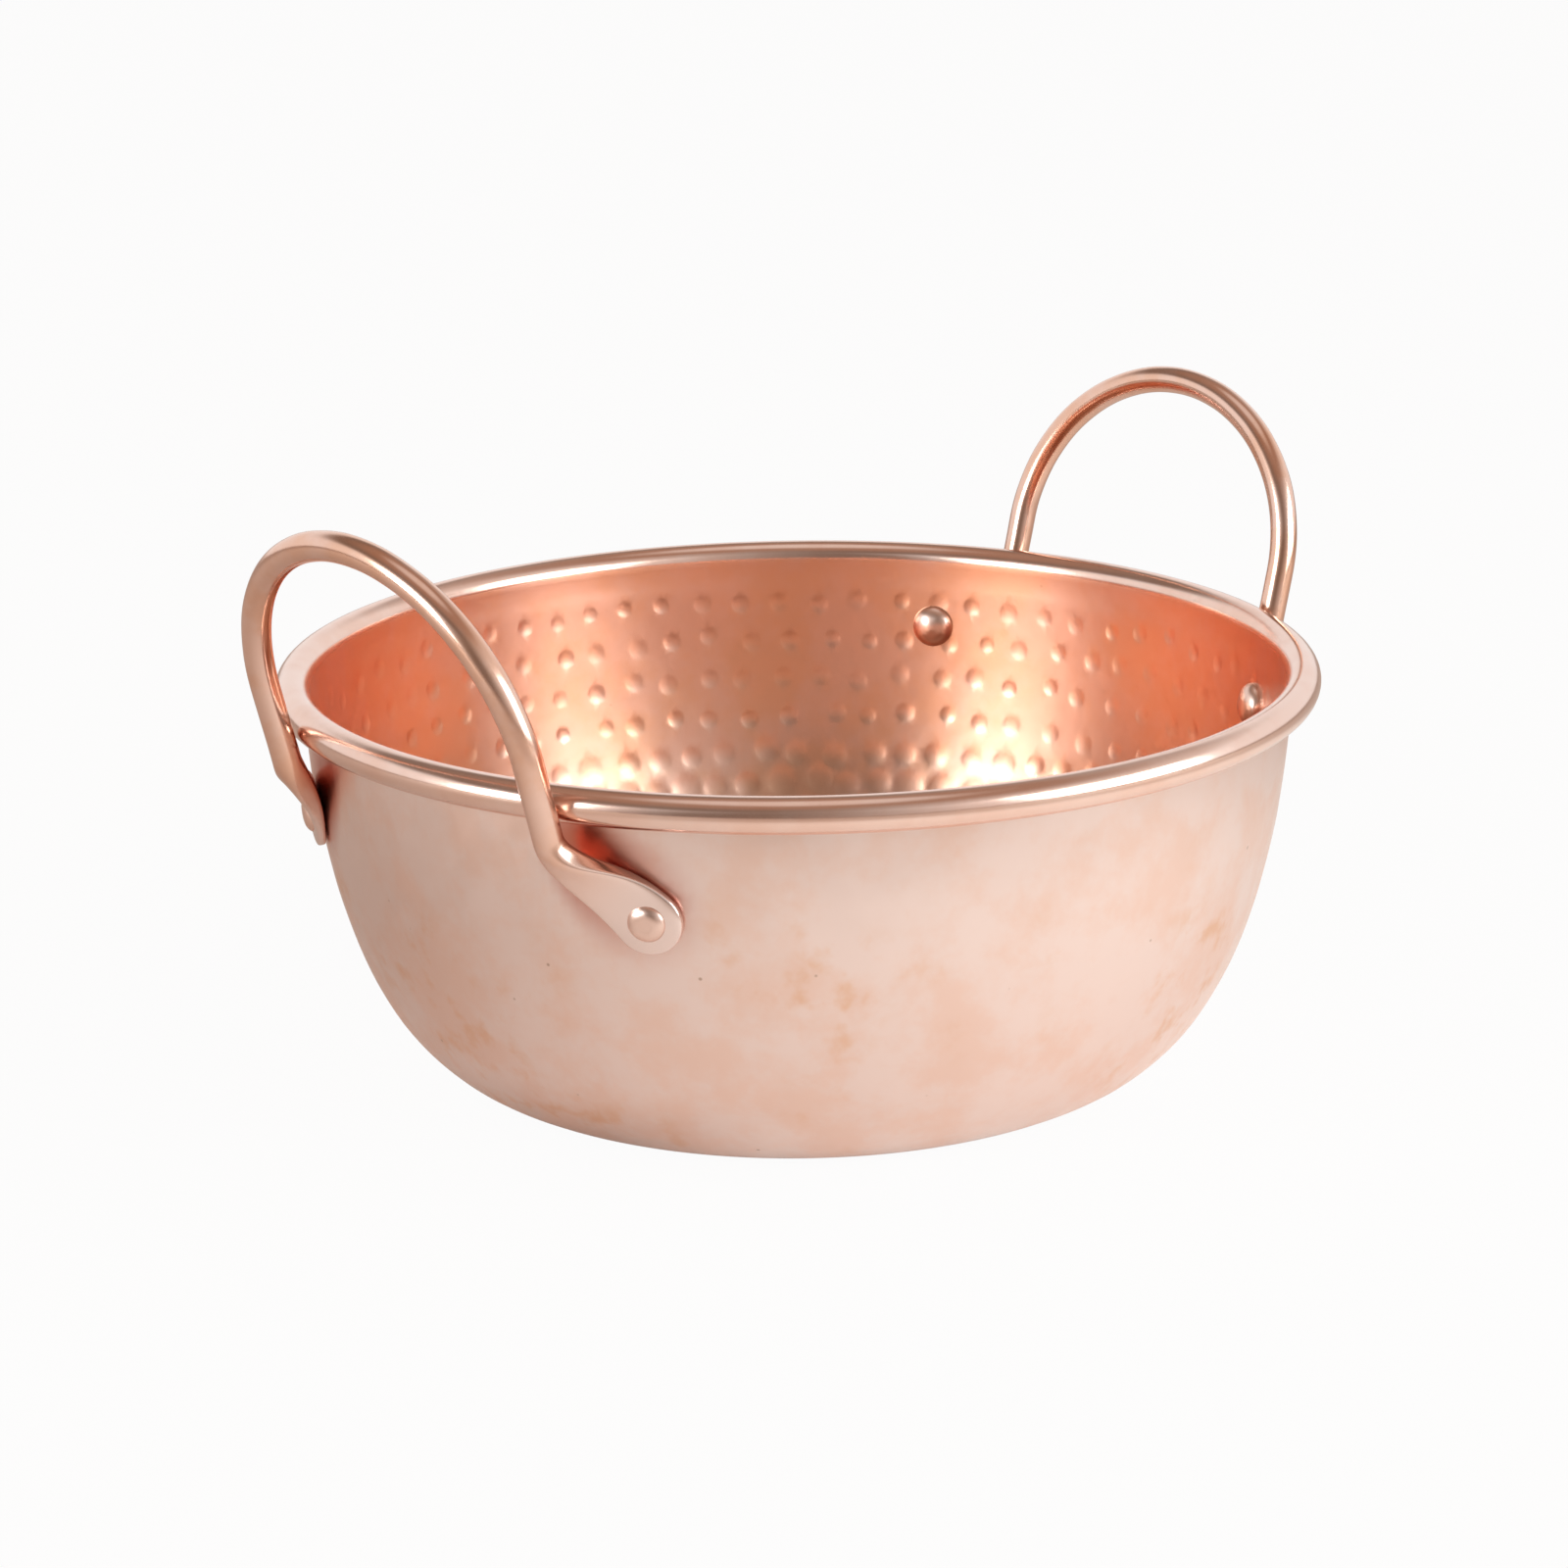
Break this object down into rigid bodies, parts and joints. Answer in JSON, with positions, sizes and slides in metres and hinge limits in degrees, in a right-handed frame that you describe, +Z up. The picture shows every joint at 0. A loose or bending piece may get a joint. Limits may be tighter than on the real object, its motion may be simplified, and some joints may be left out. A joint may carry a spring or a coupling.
{
  "type": "copper pot",
  "caption": "Round hammered copper pot with a flat base, a rolled rim over a wire, and fixed loop handles riveted through the wall, for cooking on a hob and serving.",
  "frame": {"origin": "centre of the flat base, on the surface that the pot stands on", "axes": "+X through the right handle, +Z up through the mouth"},
  "size_m": [0.221, 0.2, 0.1184],
  "materials": {
    "bowl_copper": "bare hammered copper, smooth outside and dimpled inside",
    "handle_copper": "polished bare copper rod",
    "rivet_copper": "hammered bare copper",
    "wire_steel": "plain drawn wire"
  },
  "bodies": {
    "root": {"bowl": "bowl_copper", "rim_wire": "wire_steel", "left_handle": "handle_copper", "right_handle": "handle_copper", "left_front_rivet": "rivet_copper", "left_back_rivet": "rivet_copper", "right_front_rivet": "rivet_copper", "right_back_rivet": "rivet_copper"}
  },
  "joints": []
}
